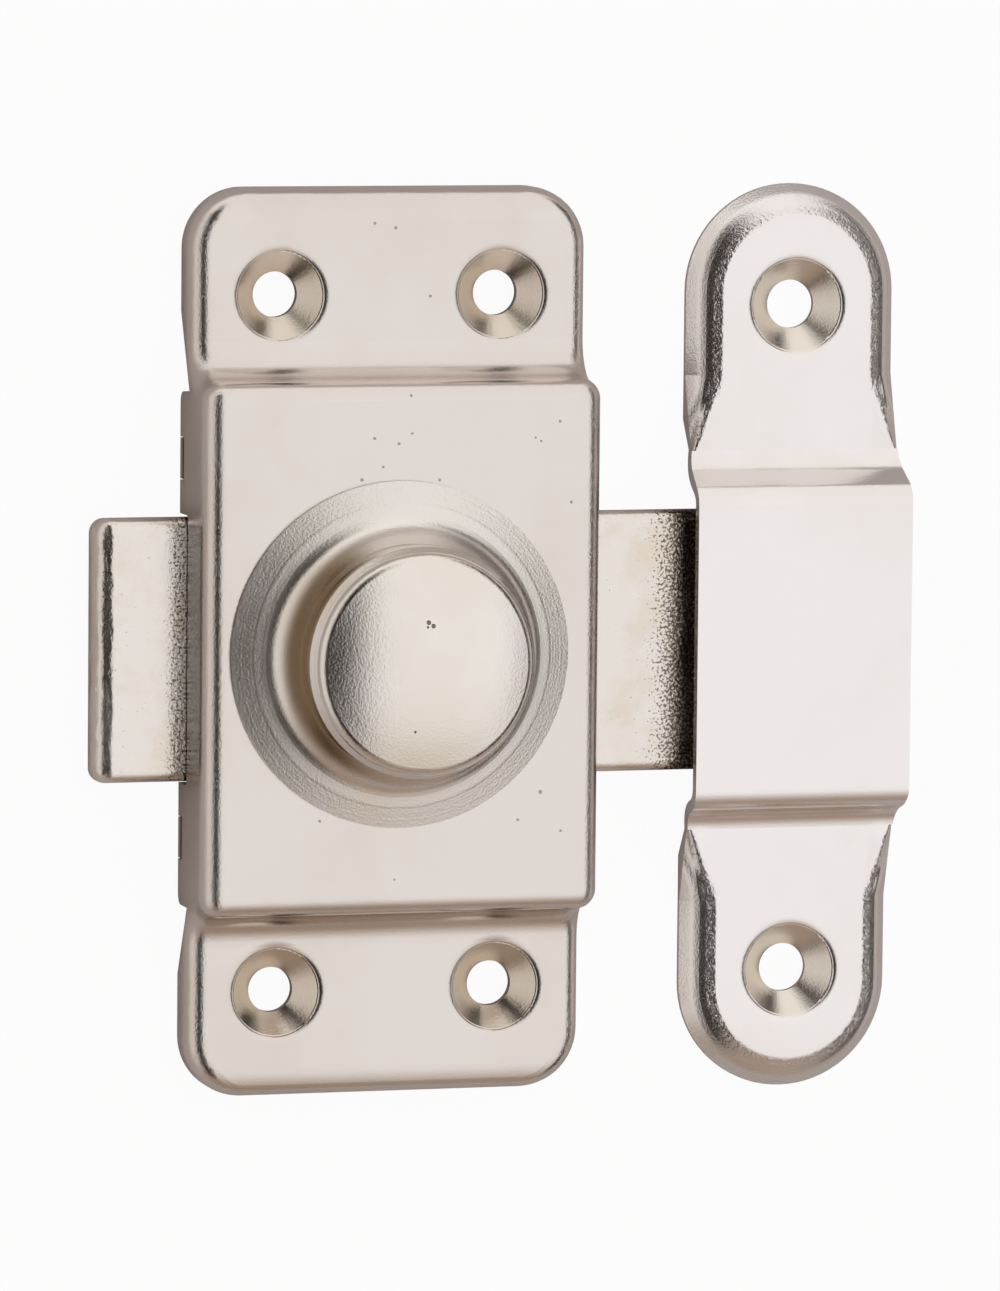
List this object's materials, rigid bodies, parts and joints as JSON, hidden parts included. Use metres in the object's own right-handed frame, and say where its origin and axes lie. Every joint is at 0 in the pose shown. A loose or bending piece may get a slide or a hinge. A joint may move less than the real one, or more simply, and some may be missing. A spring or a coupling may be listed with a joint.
{
  "type": "slide bolt",
  "caption": "Surface-mounted slide bolt of nickelled steel: a box-shaped case with lugs, a flat bolt pushed by a turned knob, and a bridge-shaped keeper.",
  "frame": {"origin": "centre of the case on the plane that the case and the keeper are screwed to", "axes": "+X the way the bolt is thrown, towards the keeper; +Y along the case from lug to lug; +Z out of the door, towards the knob"},
  "size_m": [0.074, 0.0808, 0.02],
  "materials": {
    "case": "satin nickel on pressed steel, slightly warm",
    "back_plate": "thin nickel on sheet steel",
    "bolt": "satin nickel on rolled bar, mottled",
    "knob": "satin nickel on turned steel, fine turning marks",
    "leaf_spring": "bare spring steel",
    "keeper": "satin nickel on pressed steel"
  },
  "bodies": {
    "mounted": {"case": "case", "back_plate": "back_plate", "keeper": "keeper"},
    "slider": {"bolt": "bolt", "knob": "knob", "leaf_spring": "leaf_spring"}
  },
  "joints": [
    {"name": "bolt_slide", "type": "slide", "parent": "mounted", "child": "slider", "axis": [1, 0, 0], "range_m": [-0.00525, 0.00625]}
  ]
}
